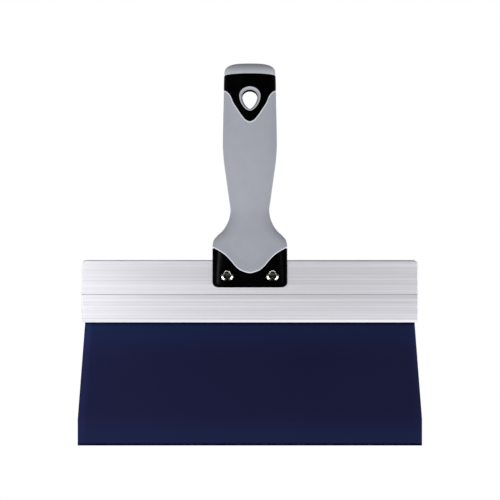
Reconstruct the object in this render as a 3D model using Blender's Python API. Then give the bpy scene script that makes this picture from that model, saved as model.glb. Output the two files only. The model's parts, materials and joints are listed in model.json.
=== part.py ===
"""A 254 mm (10 in) drywall taping knife: blued spring-steel blade, extruded aluminium back bar and a
two-colour moulded handle, joined by two tubular rivets.

The knife hangs by the hole in its butt: +Z runs up the handle, X along the blade's edge, and the front,
with the rolled ends of the rivets, faces -Y. Lengths below are millimetres. Heights are measured from
the blade's working edge; the origin is the seat in the hang hole that a hook bears on.
"""

import math

import bmesh
import bpy

MM = 0.001
FIT_GAP = 0.3  # clearance between pieces that touch on the real knife

# Blade
EDGE_WIDTH = 254.0
BLADE_THICKNESS = 0.5
BLADE_KNEE = 19.5  # height where the straight sides start to taper
BLADE_TOP_WIDTH = 243.0  # where it goes into the bar
BLADE_TOP = 109.0  # hidden end of the blade, inside the bar

# Back bar, one extrusion: a plain web, a step out, and below it a clamp that grips the blade and thins
# towards a bevelled lip. Each HALF is a distance from the blade's plane.
BAR_WIDTH = 247.5
BAR_BOTTOM = 90.85
BAR_TOP = 136.8
BAR_CORNER_RADIUS = 3.8
BAR_END_BEVEL = 0.6
WEB_HALF = 1.7
WEB_EDGE_RADIUS = 0.6
STEP_TOP = 111.65
STEP_BOTTOM = 111.4
CLAMP_HALF = 2.2
LIP_HALF = 2.0
LIP_HEIGHT = 1.35
LIP_TOE_HALF = 1.3
SLOT_HALF = BLADE_THICKNESS / 2 + FIT_GAP

# Handle
FERRULE_BOTTOM = 116.7
FOOT_CORNER_RADIUS = 4.0  # bottom corners of the ferrule in the front view
FOOT_EDGE_RADIUS = 1.2  # its bottom edges, front and rear
CAP_BOTTOM = 272.65
CAP_WALL_TOP = 273.25  # where the cap starts to round over
CAP_TOP = 281.7
OVERMOULD = 2.6  # thickness of the soft grip over the hard core
SPINE_BOTTOM = FERRULE_BOTTOM + 2.0
SPINE_TOP = CAP_BOTTOM - 2 * FIT_GAP
SEAM_GAP = 0.5  # measured upwards, where a soft part meets a hard one on the surface
HALF_WIDTHS = [
    (FERRULE_BOTTOM, 27.6), (146.5, 27.55), (151.0, 26.8), (154.1, 24.5), (158.5, 19.95),
    (163.0, 17.0), (168.0, 15.05), (173.2, 14.3), (180.6, 15.2), (198.0, 17.6),
    (211.6, 19.35), (222.0, 19.95), (240.0, 19.65), (256.0, 19.3), (266.6, 19.2), (CAP_BOTTOM, 19.0),
]
HALF_DEPTHS = [
    (FERRULE_BOTTOM, 7.6), (146.5, 8.6), (160.0, 9.6), (173.2, 10.4), (195.0, 12.2),
    (218.0, 13.3), (245.0, 12.5), (CAP_BOTTOM, 12.0),
]
SQUARENESS = [
    (FERRULE_BOTTOM, 5.5), (146.5, 4.0), (158.0, 2.8), (173.2, 2.3), (220.0, 2.4), (CAP_BOTTOM, 2.3),
]
TONGUE_RISE = [(FERRULE_BOTTOM, 0.4), (135.0, 1.2), (150.0, 1.9), (160.0, 1.1), (172.0, 0.0)]
TONGUE_HALF_WIDTH = 17.0
CAP_SQUARENESS = 3.0  # of the cap's outline seen from the front
CAP_SIDE_SQUARENESS = 2.1  # and seen from the side

# Edges of the soft grip as the front view shows them: height against distance from the centre line
FERRULE_SEAM = [
    (0.0, 127.2), (6.4, 128.9), (10.3, 131.8), (14.2, 136.4), (18.9, 141.0), (25.1, 144.8), (27.5, 146.0),
]
BUTT_SEAM = [
    (0.0, 238.2), (2.6, 239.2), (5.5, 242.3), (8.9, 247.3), (12.2, 252.7), (13.9, 256.9), (15.7, 259.4),
    (18.0, 261.2), (19.2, 261.4),
]

# Hang hole: a drop shape of three arcs, a round top, two long sides and a small tip
HOOK_SEAT = 261.7
HOLE_TOP_RADIUS = 5.5
HOLE_TOP_HEIGHT = 4.7  # from the widest place up to the top
HOLE_SIDE_RADIUS = 12.0
HOLE_TIP_RADIUS = 1.8
HOLE_SIDE_START = math.radians(3.2)  # how far below the horizontal the long sides start
HOLE_FLATTENING = 0.018  # how much less the outline grows downwards, per millimetre of growth
HOLE_WEB_HALF = 6.0  # the hard core between the two trim rings
RING_WALL = 2.3
RING_LIP = 0.4
RING_PROUD = 0.1  # height of the ring's inner rim over the core's surface
RING_THROAT = 0.3  # how much wider than the hole the funnel still is just before its narrow end
RING_THROAT_DEPTH = 1.2

# Rivets, semi-tubular, rolled over a washer at the front
RIVET_SPACING = 33.2
RIVET_HEIGHT = 125.6
SHANK_RADIUS = 2.5
RIVET_BORE_RADIUS = 1.7
RIVET_BORE_DEPTH = 5.0
RIVET_ROLL_RADIUS = 4.55
RIVET_ROLL_HEIGHT = 1.3
RIVET_ROLL_EDGE = 0.35  # height of the roll at its rim
RIVET_ROLL_UNDERCUT = 0.3
RIVET_HEAD_RADIUS = 4.75
RIVET_HEAD_HEIGHT = 1.9
RIVET_HEAD_EDGE = 0.4
WASHER_RADIUS = 4.75
WASHER_THICKNESS = 0.7
WASHER_BEND = 0.25
SPOT_FACE_RADIUS = 5.3
SPOT_FACE = 7.3  # distance of the flat rivet seats from the blade's plane

# Plugs of soft material that tie the front of the grip to its back through the core
ANCHOR_HEIGHTS = (190.0, 208.0, 226.0)
ANCHOR_RADIUS = 3.0

# Spigot on the core that the end cap sits on
SPIGOT_ROOT = CAP_BOTTOM - 5.0
SPIGOT_TOP = 277.0
SPIGOT_HALF_WIDTH = 13.0
SPIGOT_HALF_DEPTH = 6.5

# Heights of the handle's cross-sections: close together where its outline turns quickly
SECTIONS = [
    127.0, 137.0, 146.5, 149.0, 151.3, 153.2, 155.0, 157.0, 159.4, 162.4, 165.8, 169.2, 173.2, 178.0,
    185.0, 194.0, 203.0, 212.0, 222.0, 233.0, 246.0, 259.0,
]

SECTION_MARGIN = 10.0  # how far past its seam a form's cross-sections go on

# Facets
AROUND_HANDLE = 40
AROUND_RIVET = 24
AROUND_HOLE = 36
AROUND_ANCHOR = 16
POLE_RADIUS = 0.01  # of the flat that closes a turned piece on its axis
EDGE_STEPS = 3  # of the bar's rounded top edges
CORNER_STEPS = 4  # of its rounded top corners
ROLL_STEPS = 6
HEAD_STEPS = 5
FOOT_SHARES = (0.0, 0.08, 0.3, 0.6, 1.0)  # heights of the foot's rings, as shares of its corner radius
CAP_SHARES = (0.0, 0.26, 0.46, 0.65, 0.8, 0.91, 0.98, 0.999)  # and of the cap's, from its wall to its top
BAND_STEPS = 40
BAND_CROWDING = 0.55  # share of a band's steps that crowds to the middle; the rest is even
SHARP_ANGLE = math.radians(35.0)
BEYOND = 40.0  # how far cutters reach past what they cut

MATERIALS = {  # linear base colour, roughness, metallic
    "blued_steel": ((0.010, 0.013, 0.045), 0.38, 0.6),
    "mill_aluminium": ((0.72, 0.72, 0.75), 0.34, 1.0),
    "hard_black": ((0.006, 0.006, 0.007), 0.28, 0.0),
    "soft_grey": ((0.36, 0.37, 0.42), 0.62, 0.0),
    "nickel_plate": ((0.62, 0.60, 0.56), 0.22, 1.0),
}


def smooth_curve(stations):
    """A function through (position, value) stations that never overshoots between them."""
    xs, ys = zip(*stations)
    steps = [(y1 - y0) / (x1 - x0) for x0, x1, y0, y1 in zip(xs, xs[1:], ys, ys[1:])]
    slopes = [0.0]
    for before, after in zip(steps, steps[1:]):
        turning = before * after <= 0
        slopes.append(0.0 if turning else 2 * before * after / (before + after))
    slopes.append(steps[-1])

    def value(x):
        x = min(max(x, xs[0]), xs[-1])
        i = max(k for k in range(len(xs) - 1) if xs[k] <= x)
        width = xs[i + 1] - xs[i]
        t = (x - xs[i]) / width
        rise = (3 - 2 * t) * t * t
        bend = slopes[i] * t * (1 - t) ** 2 - slopes[i + 1] * t * t * (1 - t)
        return ys[i] + (ys[i + 1] - ys[i]) * rise + width * bend

    return value


half_width = smooth_curve(HALF_WIDTHS)
half_depth = smooth_curve(HALF_DEPTHS)
squareness = smooth_curve(SQUARENESS)
tongue_rise = smooth_curve(TONGUE_RISE)
ferrule_seam = smooth_curve(FERRULE_SEAM)
butt_seam = smooth_curve(BUTT_SEAM)


def power(value, exponent):
    """Like value ** exponent, keeping the sign."""
    return math.copysign(abs(value) ** exponent, value)


def rounded_ring(a, b, exponent, z, rise=0.0, count=AROUND_HANDLE):
    """One cross-section: a rounded rectangle, raised in the middle by rise.

    Its outermost facets lie a and b from the centre, so no corner falls on the centre planes, where the
    holes have theirs.
    """
    widen = math.cos(math.pi / count) ** (-2 / exponent)
    points = []
    for i in range(count):
        t = 2 * math.pi * (i + 0.5) / count
        x = a * widen * power(math.cos(t), 2 / exponent)
        y = b * widen * power(math.sin(t), 2 / exponent)
        hump = max(0.0, 1 - (x / TONGUE_HALF_WIDTH) ** 2) ** 2
        points.append((x, y + math.copysign(rise * hump, y), z))
    return points


def handle_ring(z, inset=0.0, tongue=False):
    rise = tongue_rise(z) if tongue else 0.0
    return rounded_ring(half_width(z) - inset, half_depth(z) - inset, squareness(z), z, rise)


def surface_depth(x, z):
    """Half the handle's thickness at x, z, on the hard core's outside."""
    share = min(1.0, abs(x) / half_width(z))
    return half_depth(z) * (1 - share ** squareness(z)) ** (1 / squareness(z))


def foot_rings():
    """The ferrule's bottom, its corners and edges rounded off."""
    rings = []
    for share in FOOT_SHARES:
        z = FERRULE_BOTTOM + FOOT_CORNER_RADIUS * share
        corner = FOOT_CORNER_RADIUS * (1 - math.sqrt(1 - (1 - share) ** 2))
        edge_share = min(1.0, share * FOOT_CORNER_RADIUS / FOOT_EDGE_RADIUS)
        edge = FOOT_EDGE_RADIUS * (1 - math.sqrt(1 - (1 - edge_share) ** 2))
        rings.append(rounded_ring(half_width(z) - corner, half_depth(z) - edge, squareness(z), z))
    return rings


def handle_rings(heights, inset=0.0, tongue=False):
    return [handle_ring(z, inset, tongue) for z in heights]


def cap_ring(share):
    """The cap's outline at a share of the way from its wall to its top."""
    width = half_width(CAP_BOTTOM) * (1 - share ** CAP_SQUARENESS) ** (1 / CAP_SQUARENESS)
    depth = half_depth(CAP_BOTTOM) * (1 - share ** CAP_SIDE_SQUARENESS) ** (1 / CAP_SIDE_SQUARENESS)
    z = CAP_WALL_TOP + (CAP_TOP - CAP_WALL_TOP) * share
    return rounded_ring(width, depth, squareness(CAP_BOTTOM), z)


def drop_outline(offset, count=AROUND_HOLE):
    """The hang hole's outline in x, z, grown by offset, with the same number of points for every offset."""
    top, side, tip = (r + offset for r in (HOLE_TOP_RADIUS, HOLE_SIDE_RADIUS, HOLE_TIP_RADIUS))
    centre = HOOK_SEAT - HOLE_TOP_HEIGHT
    reach = HOLE_SIDE_RADIUS - HOLE_TOP_RADIUS
    side_x, side_z = -reach * math.cos(HOLE_SIDE_START), centre + reach * math.sin(HOLE_SIDE_START)
    tip_z = side_z - math.sqrt((HOLE_SIDE_RADIUS - HOLE_TIP_RADIUS) ** 2 - side_x**2)
    side_end = math.atan2(side_z - tip_z, -side_x)
    arcs = [
        (0.0, centre, top, math.pi / 2, -HOLE_SIDE_START),
        (side_x, side_z, side, -HOLE_SIDE_START, -side_end),
        (0.0, tip_z, tip, -side_end, -math.pi / 2),
    ]
    shares = (count // 2 * 4 // 9, count // 2 * 3 // 9)
    counts = [*shares, count // 2 - sum(shares)]
    right = []
    for (cx, cz, radius, start, end), steps in zip(arcs, counts):
        for i in range(steps):
            angle = start + (end - start) * i / steps
            right.append((cx + radius * math.cos(angle), cz + radius * math.sin(angle)))
    tip_point = (0.0, tip_z - tip)
    left = [(-x, z) for x, z in right[:0:-1]]
    above, below = HOLE_TOP_HEIGHT / HOLE_TOP_RADIUS, 1 - HOLE_FLATTENING * offset
    outline = [*right, tip_point, *left]
    return [(x, centre + (z - centre) * (above if z > centre else below)) for x, z in outline]


def material(slot):
    made = bpy.data.materials.get(slot)
    if made:
        return made
    colour, roughness, metallic = MATERIALS[slot]
    made = bpy.data.materials.new(slot)
    made.use_nodes = True
    shader = made.node_tree.nodes["Principled BSDF"]
    shader.inputs["Base Color"].default_value = (*colour, 1.0)
    shader.inputs["Roughness"].default_value = roughness
    shader.inputs["Metallic"].default_value = metallic
    return made


def add_object(name, mesh_builder, slot=None):
    """Links a new object on the working edge's datum. Without a material slot it is a hidden helper."""
    bmesh.ops.recalc_face_normals(mesh_builder, faces=mesh_builder.faces)
    bmesh.ops.scale(mesh_builder, vec=(MM, MM, MM), verts=mesh_builder.verts)
    mesh = bpy.data.meshes.new(name)
    mesh_builder.to_mesh(mesh)
    mesh_builder.free()
    made = bpy.data.objects.new(name, mesh)
    bpy.context.scene.collection.objects.link(made)
    made.parent = bpy.data.objects["working_edge"]
    if slot:
        mesh.materials.append(material(slot))
        mesh.shade_smooth()
        mesh.set_sharp_from_angle(angle=SHARP_ANGLE)
    else:
        made.hide_render = True
        made.display_type = "WIRE"
    return made


def loft(rings, closed=False):
    """Joins equal rings of points with quads. Flat ends close it, or its last ring meets its first."""
    builder = bmesh.new()
    rows = [[builder.verts.new(p) for p in ring] for ring in rings]
    pairs = list(zip(rows, rows[1:]))
    if closed:
        pairs.append((rows[-1], rows[0]))
    else:
        builder.faces.new(rows[0])
        builder.faces.new(rows[-1])
    for row, following in pairs:
        for i in range(len(row)):
            j = (i + 1) % len(row)
            builder.faces.new((row[i], row[j], following[j], following[i]))
    return builder


def extrude_xz(outline, y_low, y_high):
    """A prism through a front-view outline."""
    return loft([[(x, y, z) for x, z in outline] for y in (y_low, y_high)])


def band(low, high):
    """A prism over the strip of the front view between two curves of the distance from the centre line."""
    even = [2 * i / BAND_STEPS - 1 for i in range(BAND_STEPS + 1)]
    across = [BEYOND * (BAND_CROWDING * t**3 + (1 - BAND_CROWDING) * t) for t in even]
    bottom = [(x, low(abs(x))) for x in across]
    top = [(x, high(abs(x))) for x in reversed(across)]
    return extrude_xz(bottom + top, -BEYOND, BEYOND)


def cylinder_y(x, z, radius, y_low, y_high, count):
    outline = [
        (x + radius * math.cos(2 * math.pi * i / count), z + radius * math.sin(2 * math.pi * i / count))
        for i in range(count)
    ]
    return extrude_xz(outline, y_low, y_high)


def turned_y(x, z, profile, closed=False):
    """A turned piece on an axis along Y. The profile lists (radius, y)."""
    rings = []
    for radius, y in profile:
        turns = [2 * math.pi * i / AROUND_RIVET for i in range(AROUND_RIVET)]
        rings.append([(x + radius * math.cos(t), y, z + radius * math.sin(t)) for t in turns])
    return loft(rings, closed)


def boolean(target, other, operation):
    modifier = target.modifiers.new(f"{operation.lower()}_{other.name}", "BOOLEAN")
    modifier.operation = operation
    modifier.object = other


def box(x_half, y_half, z_low, z_high):
    outline = [(-x_half, z_low), (x_half, z_low), (x_half, z_high), (-x_half, z_high)]
    return extrude_xz(outline, -y_half, y_half)


def add_blade():
    edge, top = EDGE_WIDTH / 2, BLADE_TOP_WIDTH / 2
    right = [(edge, 0.0), (edge, BLADE_KNEE), (top, BAR_BOTTOM), (top, BLADE_TOP)]
    left = [(-x, z) for x, z in reversed(right)]
    sheet = extrude_xz(right + left, -BLADE_THICKNESS / 2, BLADE_THICKNESS / 2)
    add_object("blade", sheet, "blued_steel")


def add_back_bar():
    """The extrusion's profile in y, z, drawn along X, with bevelled ends and rounded top corners."""
    top_arc = []
    for i in range(EDGE_STEPS + 1):
        turn = math.pi / 2 * i / EDGE_STEPS
        drawn_in = WEB_EDGE_RADIUS * (1 - math.cos(turn))
        top_arc.append((WEB_HALF - drawn_in, BAR_TOP - WEB_EDGE_RADIUS * (1 - math.sin(turn))))
    front = [
        (SLOT_HALF, BLADE_TOP + FIT_GAP),
        (SLOT_HALF, BAR_BOTTOM),
        (LIP_TOE_HALF, BAR_BOTTOM),
        (LIP_HALF, BAR_BOTTOM + LIP_HEIGHT),
        (CLAMP_HALF, STEP_BOTTOM),
        (WEB_HALF, STEP_TOP),
        *top_arc,
    ]
    profile = [(-y, z) for y, z in front] + [(y, z) for y, z in reversed(front)]
    half = BAR_WIDTH / 2
    extrusion = loft([[(x, y, z) for y, z in profile] for x in (-half, half)])
    bar = add_object("back_bar", extrusion, "mill_aluminium")

    outline = [(-half, BAR_BOTTOM - 1), (half, BAR_BOTTOM - 1)]
    for side, start in ((1, 0), (-1, math.pi / 2)):
        for i in range(CORNER_STEPS + 1):
            turn = start + math.pi / 2 * i / CORNER_STEPS
            outline.append(
                (
                    side * (half - BAR_CORNER_RADIUS) + BAR_CORNER_RADIUS * math.cos(turn),
                    BAR_TOP - BAR_CORNER_RADIUS + BAR_CORNER_RADIUS * math.sin(turn),
                )
            )
    boolean(bar, add_object("bar_front_outline", extrude_xz(outline, -BEYOND, BEYOND)), "INTERSECT")
    bevelled = half - BAR_END_BEVEL
    full = CLAMP_HALF + FIT_GAP
    flat = full - 2 * BAR_END_BEVEL
    right = [(bevelled, -full), (half, -flat), (half, flat), (bevelled, full)]
    plan = right + [(-x, y) for x, y in reversed(right)]
    end_bevels = loft([[(x, y, z) for x, y in plan] for z in (BAR_BOTTOM - 2, BAR_TOP + 2)])
    boolean(bar, add_object("bar_end_bevels", end_bevels), "INTERSECT")
    return bar


def spigot_rings(growth):
    """The spigot's two ends, or those of the pocket that it fills, which is larger by growth."""
    half_sizes = (SPIGOT_HALF_WIDTH + growth, SPIGOT_HALF_DEPTH + growth)
    return [rounded_ring(*half_sizes, CAP_SQUARENESS, z) for z in (SPIGOT_ROOT, SPIGOT_TOP + growth)]


def add_handle_core():
    """The hard moulding: ferrule and butt at full size, and a thinner spine between them under the grip."""
    spine_rings = handle_rings([SPINE_BOTTOM, *SECTIONS[::2], SPINE_TOP], OVERMOULD)
    core = add_object("handle_core", loft(spine_rings), "hard_black")

    ferrule_sections = handle_rings([z for z in SECTIONS if z < FERRULE_SEAM[-1][1] + SECTION_MARGIN])
    ferrule = add_object("ferrule_form", loft(foot_rings() + ferrule_sections))
    below_seam = add_object("ferrule_region", band(lambda x: 0.0, ferrule_seam))
    boolean(ferrule, below_seam, "INTERSECT")
    butt_sections = handle_rings([z for z in SECTIONS if z > BUTT_SEAM[0][1] - SECTION_MARGIN])
    butt = add_object("butt_form", loft([*butt_sections, handle_ring(CAP_BOTTOM)]))
    above_seam = add_object("butt_region", band(butt_seam, lambda x: CAP_TOP + BEYOND))
    boolean(butt, above_seam, "INTERSECT")
    spigot = add_object("spigot_form", loft(spigot_rings(0.0)))
    for form in (ferrule, butt, spigot):
        boolean(core, form, "UNION")

    slot = box(BEYOND, WEB_HALF + FIT_GAP, FERRULE_BOTTOM - BEYOND, BAR_TOP + FIT_GAP)
    boolean(core, add_object("bar_slot", slot), "DIFFERENCE")
    hole = add_object("hang_hole", extrude_xz(drop_outline(0.0), -BEYOND, BEYOND))
    boolean(core, hole, "DIFFERENCE")
    seat = drop_outline(RING_WALL + FIT_GAP)
    for side, name in ((-1, "front"), (1, "rear")):
        reach = sorted((side * HOLE_WEB_HALF, side * BEYOND))
        recess = add_object(f"ring_recess_{name}", extrude_xz(seat, *reach))
        boolean(core, recess, "DIFFERENCE")
    for z in ANCHOR_HEIGHTS:
        hole = cylinder_y(0.0, z, ANCHOR_RADIUS + FIT_GAP, -BEYOND, BEYOND, AROUND_ANCHOR)
        boolean(core, add_object(f"anchor_hole_{z:.0f}", hole), "DIFFERENCE")
    return core


def add_grip_sleeve():
    """The soft grip: a tube over the core's spine, cut to the two seams, with plugs through the core."""
    outer_heights = [SPINE_BOTTOM, *SECTIONS, CAP_BOTTOM]
    sleeve = add_object("grip_sleeve", loft(handle_rings(outer_heights, tongue=True)), "soft_grey")
    region = band(lambda x: ferrule_seam(x) + SEAM_GAP, lambda x: butt_seam(x) - SEAM_GAP)
    boolean(sleeve, add_object("grip_region", region), "INTERSECT")
    bore_heights = [SPINE_BOTTOM, *SECTIONS[::2], SPINE_TOP]
    bore = add_object("grip_bore", loft(handle_rings(bore_heights, OVERMOULD - FIT_GAP)))
    boolean(sleeve, bore, "DIFFERENCE")
    for z in ANCHOR_HEIGHTS:
        reach = half_depth(z) - OVERMOULD / 2
        plug = cylinder_y(0.0, z, ANCHOR_RADIUS, -reach, reach, AROUND_ANCHOR)
        boolean(sleeve, add_object(f"anchor_plug_{z:.0f}", plug), "UNION")


def add_end_cap():
    wall_foot = [(x, y, CAP_BOTTOM + FIT_GAP) for x, y, _ in cap_ring(0.0)]
    cap = add_object("end_cap", loft([wall_foot, *(cap_ring(share) for share in CAP_SHARES)]), "soft_grey")
    boolean(cap, add_object("spigot_pocket", loft(spigot_rings(FIT_GAP))), "DIFFERENCE")


def add_hang_ring(name, side):
    """A funnel of soft material round one mouth of the hang hole."""

    def on_surface(offset, proud):
        return [(x, side * (surface_depth(x, z) + proud), z) for x, z in drop_outline(offset)]

    def at_depth(offset, y):
        return [(x, side * y, z) for x, z in drop_outline(offset)]

    seat = HOLE_WEB_HALF + FIT_GAP
    rings = [
        at_depth(RING_WALL, seat),
        on_surface(RING_WALL, 0.0),
        on_surface(RING_WALL - RING_LIP, RING_PROUD),
        at_depth(RING_THROAT, seat + RING_THROAT_DEPTH),
        at_depth(0.0, seat),
    ]
    add_object(name, loft(rings, closed=True), "soft_grey")


def add_rivet(side_name, x):
    """A semi-tubular rivet: domed head at the back, and a hollow end rolled over a washer at the front."""
    washer_top = SPOT_FACE + FIT_GAP + WASHER_THICKNESS
    roll_seat = washer_top + FIT_GAP
    roll_top = roll_seat + RIVET_ROLL_HEIGHT
    head_seat = SPOT_FACE + FIT_GAP
    roll_middle = (RIVET_BORE_RADIUS + RIVET_ROLL_RADIUS) / 2
    roll_half = (RIVET_ROLL_RADIUS - RIVET_BORE_RADIUS) / 2
    bore_end = RIVET_BORE_DEPTH - roll_top
    profile = [(POLE_RADIUS, bore_end), (RIVET_BORE_RADIUS, bore_end)]
    for i in range(ROLL_STEPS + 1):
        turn = math.pi * i / ROLL_STEPS
        height = RIVET_ROLL_EDGE + (RIVET_ROLL_HEIGHT - RIVET_ROLL_EDGE) * math.sin(turn)
        profile.append((roll_middle - roll_half * math.cos(turn), -roll_seat - height))
    profile += [
        (RIVET_ROLL_RADIUS - RIVET_ROLL_UNDERCUT, -roll_seat),
        (SHANK_RADIUS, -roll_seat),
        (SHANK_RADIUS, head_seat),
        (RIVET_HEAD_RADIUS, head_seat),
    ]
    for i in range(HEAD_STEPS + 1):
        turn = math.pi / 2 * i / HEAD_STEPS
        radius = max(RIVET_HEAD_RADIUS * math.cos(turn), POLE_RADIUS)
        height = RIVET_HEAD_EDGE + (RIVET_HEAD_HEIGHT - RIVET_HEAD_EDGE) * math.sin(turn)
        profile.append((radius, head_seat + height))
    add_object(f"rivet_{side_name}", turned_y(x, RIVET_HEIGHT, profile), "nickel_plate")

    inner = SHANK_RADIUS + FIT_GAP
    ring = [
        (inner, -head_seat),
        (WASHER_RADIUS, -head_seat),
        (WASHER_RADIUS, WASHER_BEND - washer_top),
        (WASHER_RADIUS - WASHER_BEND, -washer_top),
        (inner, -washer_top),
    ]
    washer = turned_y(x, RIVET_HEIGHT, ring, closed=True)
    add_object(f"rivet_washer_{side_name}", washer, "nickel_plate")


def cut_rivet_holes(core, bar):
    for side_name, x in (("left", -RIVET_SPACING / 2), ("right", RIVET_SPACING / 2)):
        hole = cylinder_y(x, RIVET_HEIGHT, SHANK_RADIUS + FIT_GAP, -BEYOND, BEYOND, AROUND_RIVET)
        cutter = add_object(f"rivet_hole_{side_name}", hole)
        boolean(core, cutter, "DIFFERENCE")
        boolean(bar, cutter, "DIFFERENCE")
        for side, face in ((-1, "front"), (1, "rear")):
            reach = sorted((side * SPOT_FACE, side * BEYOND))
            seat = cylinder_y(x, RIVET_HEIGHT, SPOT_FACE_RADIUS, *reach, AROUND_RIVET)
            boolean(core, add_object(f"spot_face_{face}_{side_name}", seat), "DIFFERENCE")
        add_rivet(side_name, x)


def main():
    for old in list(bpy.data.objects):
        bpy.data.objects.remove(old)
    datum = bpy.data.objects.new("working_edge", None)
    datum.location.z = -HOOK_SEAT * MM
    bpy.context.scene.collection.objects.link(datum)
    add_blade()
    bar = add_back_bar()
    core = add_handle_core()
    add_grip_sleeve()
    add_end_cap()
    add_hang_ring("hang_ring_front", -1)
    add_hang_ring("hang_ring_rear", 1)
    cut_rivet_holes(core, bar)


main()
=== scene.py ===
"""Looks for the drywall taping knife: every CAD solid gets a finely modelled piece in its place, a floor,
soft studio light and the camera.

Shapes are worked out in millimetres: x along the blade, y from front (-) to rear (+), and z as the height
above the blade's working edge. place() turns them into the frame's metres.
"""

import json
import math

import bmesh
import bpy
import numpy as np
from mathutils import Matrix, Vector


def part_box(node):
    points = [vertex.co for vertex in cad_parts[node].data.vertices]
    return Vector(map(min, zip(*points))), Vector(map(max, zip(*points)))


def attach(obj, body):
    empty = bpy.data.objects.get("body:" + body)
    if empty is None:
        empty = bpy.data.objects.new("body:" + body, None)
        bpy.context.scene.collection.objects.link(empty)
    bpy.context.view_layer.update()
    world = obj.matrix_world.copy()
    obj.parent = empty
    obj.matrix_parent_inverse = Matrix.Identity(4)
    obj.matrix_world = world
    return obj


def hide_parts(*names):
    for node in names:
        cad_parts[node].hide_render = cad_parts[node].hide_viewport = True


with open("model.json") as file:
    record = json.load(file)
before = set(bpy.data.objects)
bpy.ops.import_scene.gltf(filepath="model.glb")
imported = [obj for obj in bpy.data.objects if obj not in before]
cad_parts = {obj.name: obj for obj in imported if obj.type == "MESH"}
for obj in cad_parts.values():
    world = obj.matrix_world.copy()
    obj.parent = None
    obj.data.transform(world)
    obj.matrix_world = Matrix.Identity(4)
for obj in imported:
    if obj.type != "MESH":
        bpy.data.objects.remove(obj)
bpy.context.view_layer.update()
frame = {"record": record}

MM = 0.001
EDGE_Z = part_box("blade")[0].z  # the working edge
MOUNTS = {mount["name"]: mount for mount in frame["record"]["mounts"]}
FIT_GAP = 0.3  # clearance between pieces that touch on the real knife
FAR = 40.0  # how far cutters reach past what they cut


def size_mm(node):
    """Lowest and highest corner of a CAD node, in this script's millimetres."""
    low, high = (np.array(corner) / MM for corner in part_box(node))
    datum = np.array([0.0, 0.0, EDGE_Z / MM])
    return low - datum, high - datum


# ---------------------------------------------------------------- curves


class Curve:
    """A smooth curve through (position, value) stations that never overshoots between them."""

    def __init__(self, stations):
        self.xs, self.ys = (np.array(column, float) for column in zip(*stations))
        steps = np.diff(self.ys) / np.diff(self.xs)
        before, after = steps[:-1], steps[1:]
        same_way = before * after > 0
        total = np.where(same_way, before + after, 1.0)
        inner = np.where(same_way, 2 * before * after / total, 0.0)
        self.slopes = np.concatenate([[0.0], inner, [steps[-1]]])

    def __call__(self, x):
        x = np.clip(x, self.xs[0], self.xs[-1])
        i = np.clip(np.searchsorted(self.xs, x, side="right") - 1, 0, len(self.xs) - 2)
        width = self.xs[i + 1] - self.xs[i]
        t = (x - self.xs[i]) / width
        bend = self.slopes[i] * t * (1 - t) ** 2 - self.slopes[i + 1] * t * t * (1 - t)
        return self.ys[i] + (self.ys[i + 1] - self.ys[i]) * (3 - 2 * t) * t * t + width * bend

    def slope(self, x, step=0.05):
        return (self(x + step) - self(x - step)) / (2 * step)


def quarter(count):
    """Angles of a quarter turn, both ends included."""
    return np.linspace(0.0, math.pi / 2, count)


# ---------------------------------------------------------------- meshes


def place(points):
    """Millimetres above the working edge to metres in the frame."""
    return np.asarray(points, float) * MM + np.array([0.0, 0.0, EDGE_Z])


def closed_mesh(name, points, faces, material):
    """A mesh with its faces turned outwards."""
    mesh = bpy.data.meshes.new(name)
    mesh.from_pydata(place(points).tolist(), [], faces)
    builder = bmesh.new()
    builder.from_mesh(mesh)
    bmesh.ops.recalc_face_normals(builder, faces=builder.faces)
    builder.to_mesh(mesh)
    builder.free()
    mesh.materials.append(material)
    return mesh


def add_object(name, data):
    made = bpy.data.objects.new(name, data)
    bpy.context.scene.collection.objects.link(made)
    return made


def add_piece(name, points, faces, material, nodes, sharp_degrees=40, tone=None):
    """A piece that stands for some CAD nodes and rides with them. Its material can read the points' tone."""
    mesh = closed_mesh(name, points, faces, material)
    mesh.shade_smooth()
    mesh.set_sharp_from_angle(angle=math.radians(sharp_degrees))
    if tone is not None:
        tones = mesh.attributes.new("tone", "FLOAT", "POINT")
        tones.data.foreach_set("value", np.asarray(tone, np.float32))
    piece = add_object(name, mesh)
    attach(piece, "root")
    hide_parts(*nodes)
    return piece


def loft_faces(rows, columns, closed):
    """Quads between rows of points that run round. Flat ends close it, or its last row meets its first."""
    faces = []
    for row in range(rows if closed else rows - 1):
        this, following = row * columns, (row + 1) % rows * columns
        for i in range(columns):
            j = (i + 1) % columns
            faces.append((this + i, this + j, following + j, following + i))
    if not closed:
        last = (rows - 1) * columns
        faces.append(tuple(range(columns)))
        faces.append(tuple(range(last, last + columns)))
    return faces


def add_loft(name, rows, material, nodes, closed=False, sharp_degrees=40, tone=None):
    """tone is one number for all, one for each row, or one for each point of each row."""
    rows = np.asarray(rows)
    count, columns = rows.shape[:2]
    faces = loft_faces(count, columns, closed)
    if tone is not None:
        tone = np.asarray(tone, float)
        if tone.ndim == 1:
            tone = tone[:, None]
        tone = np.broadcast_to(tone, (count, columns)).ravel()
    return add_piece(name, rows.reshape(-1, 3), faces, material, nodes, sharp_degrees, tone)


CUT_SHARP_ANGLE = math.radians(35)


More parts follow.
